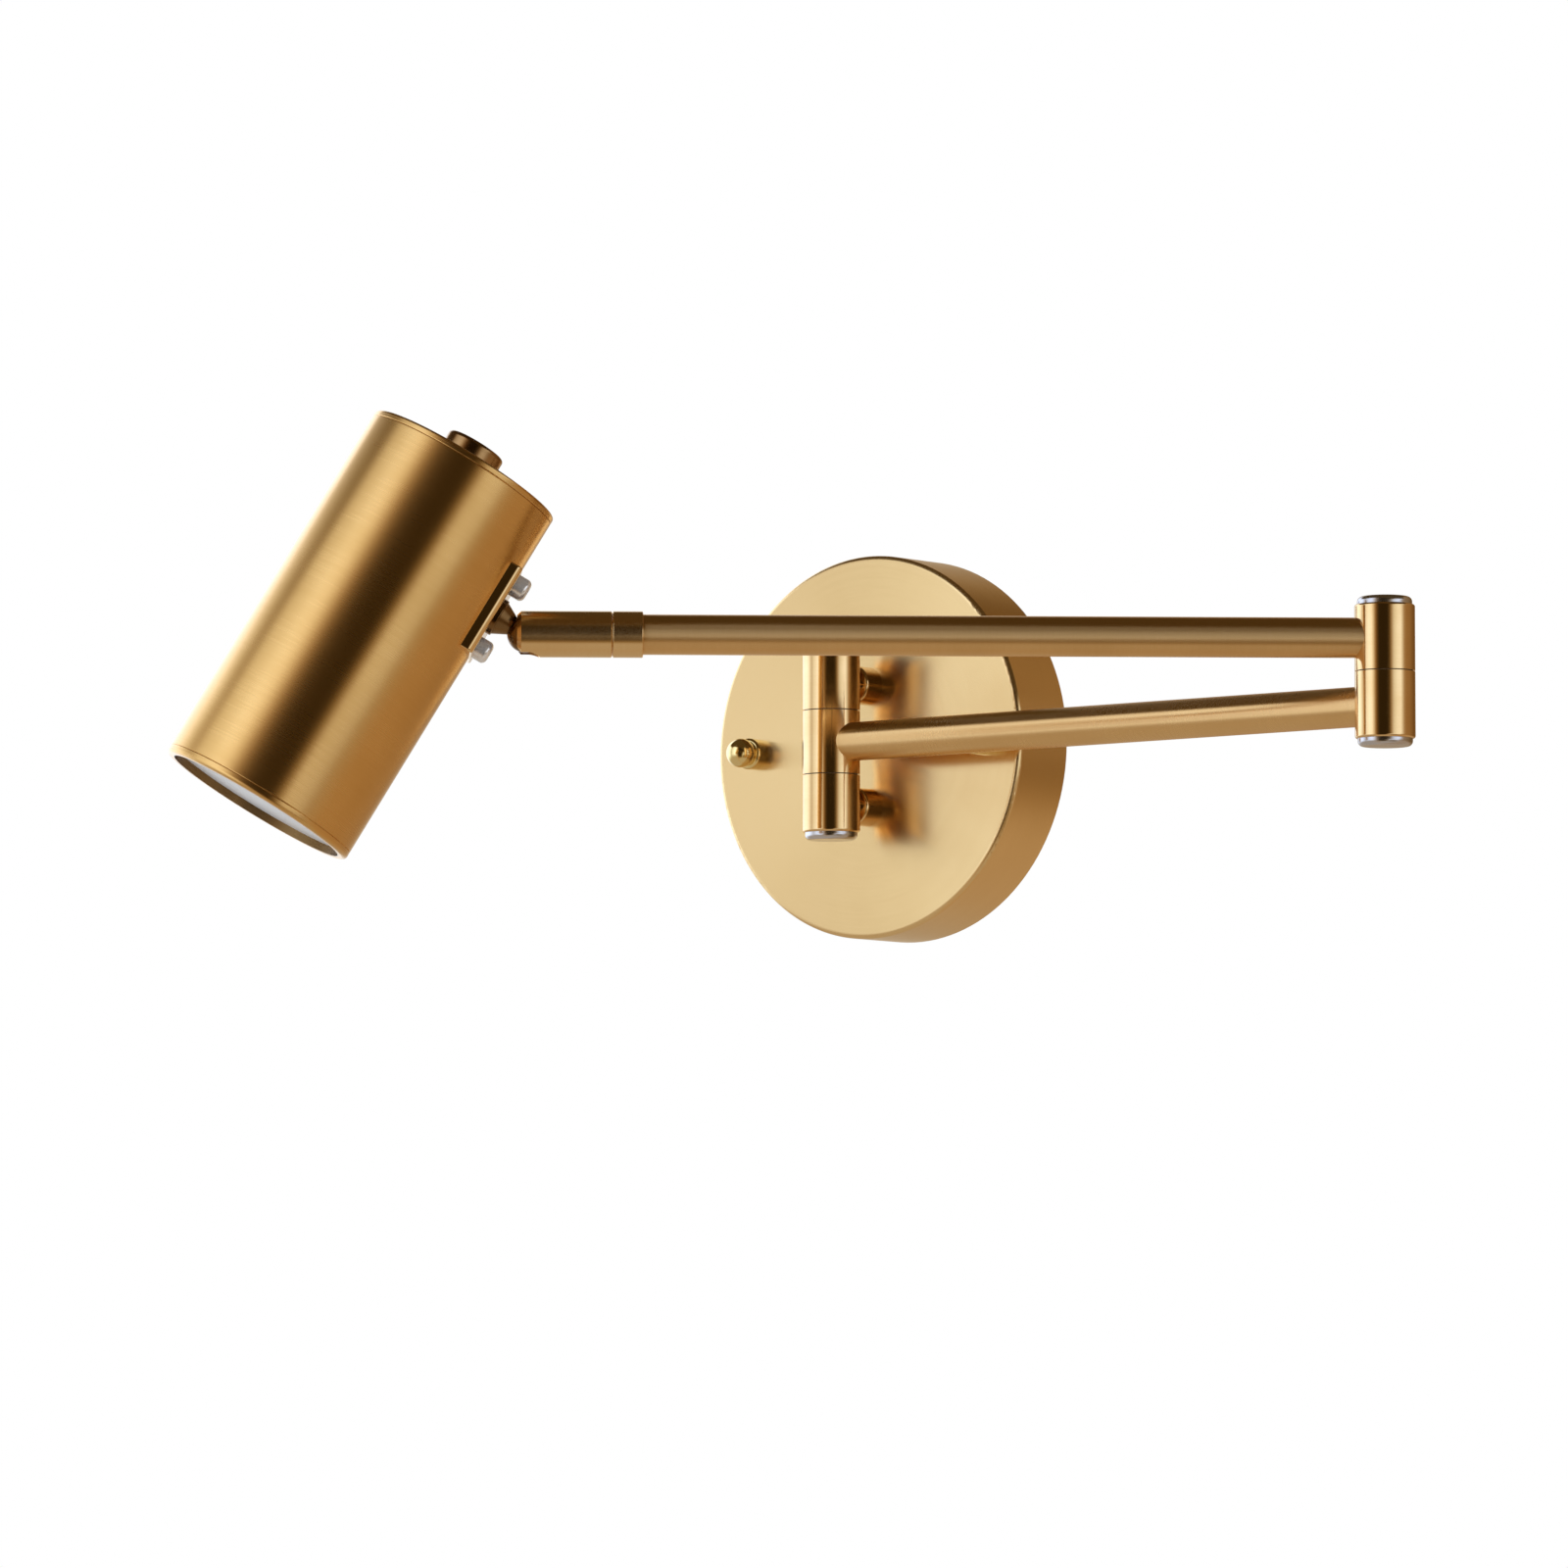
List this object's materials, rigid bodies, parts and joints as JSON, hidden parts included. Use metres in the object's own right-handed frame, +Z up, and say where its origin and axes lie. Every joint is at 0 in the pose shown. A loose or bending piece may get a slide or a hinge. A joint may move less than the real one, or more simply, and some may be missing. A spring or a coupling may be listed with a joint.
{
  "type": "swing arm wall reading lamp",
  "caption": "Brushed brass bedside wall lamp: round wall canopy, folding swing arm, and a tube head on a ball swivel with a push switch.",
  "frame": {"origin": "centre of the canopy's wall side, on the wall plane and midway between the two wall screw slots", "axes": "+Y into the wall, -Y out to the room, +X to the viewer's right, +Z up"},
  "size_m": [0.2864, 0.2923, 0.1458],
  "materials": {
    "canopy_brass": "brushed satin",
    "zinc_steel": "zinc plated",
    "polished_brass": "polished",
    "pivot_brass": "turned",
    "arm_brass": "satin",
    "head_brass": "brushed satin",
    "silver_caps": "polished",
    "nylon": "natural",
    "black_rubber": "matt",
    "white_plastic": "moulded",
    "foam_pad": "foam",
    "flex": "satin",
    "switch_plastic": "moulded",
    "opal_diffuser": "opal",
    "white_reflector": "gloss",
    "led_phosphor": "silicone",
    "board_white": "solder mask",
    "sink_aluminium": "cast"
  },
  "bodies": {
    "base": {"canopy": "canopy_brass", "wall_bar": "zinc_steel", "cable_grommet": "black_rubber", "canopy_studs": "zinc_steel", "stud_nuts": "zinc_steel", "canopy_cap_nuts": "polished_brass", "terminal_block": "nylon", "terminal_screw": "zinc_steel", "earth_screw": "zinc_steel", "led_driver": "white_plastic", "driver_pad": "foam_pad", "supply_leads": "flex", "standoffs": "polished_brass", "standoff_washers": "zinc_steel", "standoff_nuts": "zinc_steel", "post_upper_knuckle": "polished_brass", "post_lower_knuckle": "polished_brass", "post_pivot_tube": "pivot_brass", "post_washers": "nylon", "post_end_caps": "silver_caps", "canopy_lead": "flex"},
    "lower_arm": {"post_middle_knuckle": "polished_brass", "lower_arm_tube": "arm_brass", "elbow_lower_knuckle": "polished_brass", "elbow_pivot_tube": "pivot_brass", "elbow_washer": "nylon", "elbow_spring_washer": "zinc_steel", "elbow_pivot_nut": "zinc_steel", "elbow_bottom_cap": "silver_caps", "lower_arm_lead": "flex"},
    "upper_arm": {"elbow_upper_knuckle": "polished_brass", "elbow_top_cap": "silver_caps", "upper_arm_tube": "arm_brass", "arm_collar": "polished_brass", "swivel_nipple": "zinc_steel", "upper_arm_lead": "flex"},
    "socket": {"swivel_socket": "polished_brass", "socket_plug": "polished_brass", "ball_disc_springs": "zinc_steel", "ball_seat": "nylon"},
    "stem": {"ball_stem": "polished_brass", "stem_spring_washer": "zinc_steel", "stem_nut": "zinc_steel", "stem_lead": "flex"},
    "head": {"head_shell": "head_brass", "saddle_plate": "polished_brass", "inner_clamp_plate": "zinc_steel", "saddle_screws": "silver_caps", "head_top_cap": "head_brass", "switch_body": "switch_plastic", "switch_nut": "silver_caps", "front_bezel": "head_brass", "diffuser": "opal_diffuser", "reflector": "white_reflector", "led_emitter": "led_phosphor", "led_board": "board_white", "board_screws": "zinc_steel", "heat_sink": "sink_aluminium", "head_leads": "flex"},
    "button": {"switch_button": "polished_brass"}
  },
  "joints": [
    {"name": "arm_swing", "type": "hinge", "parent": "base", "child": "lower_arm", "pos_m": [0, -0.042, 0], "axis": [0, 0, -1], "range_deg": [0, 180]},
    {"name": "elbow", "type": "hinge", "parent": "lower_arm", "child": "upper_arm", "pos_m": [0.21, -0.042, 0], "axis": [0, 0, 1], "range_deg": [-16.2, 293.8]},
    {"name": "socket_roll", "type": "hinge", "parent": "upper_arm", "child": "socket", "pos_m": [0.01836, -0.20977, 0.02], "axis": [-0.7524, -0.6587, 0], "range_deg": [-150, 150]},
    {"name": "ball_tilt", "type": "hinge", "parent": "socket", "child": "stem", "pos_m": [0.01836, -0.20977, 0.02], "axis": [0.6587, -0.7524, 0], "range_deg": [-2, 105]},
    {"name": "head_spin", "type": "hinge", "parent": "stem", "child": "head", "pos_m": [0.01836, -0.20977, 0.02], "axis": [-0.6449, -0.5646, 0.515], "range_deg": [-170, 170]},
    {"name": "button_press", "type": "slide", "parent": "head", "child": "button", "axis": [-0.3643, -0.3653, -0.8566], "range_m": [0, 0.002], "stiffness_N_per_m": 900, "springref_m": -0.001}
  ]
}
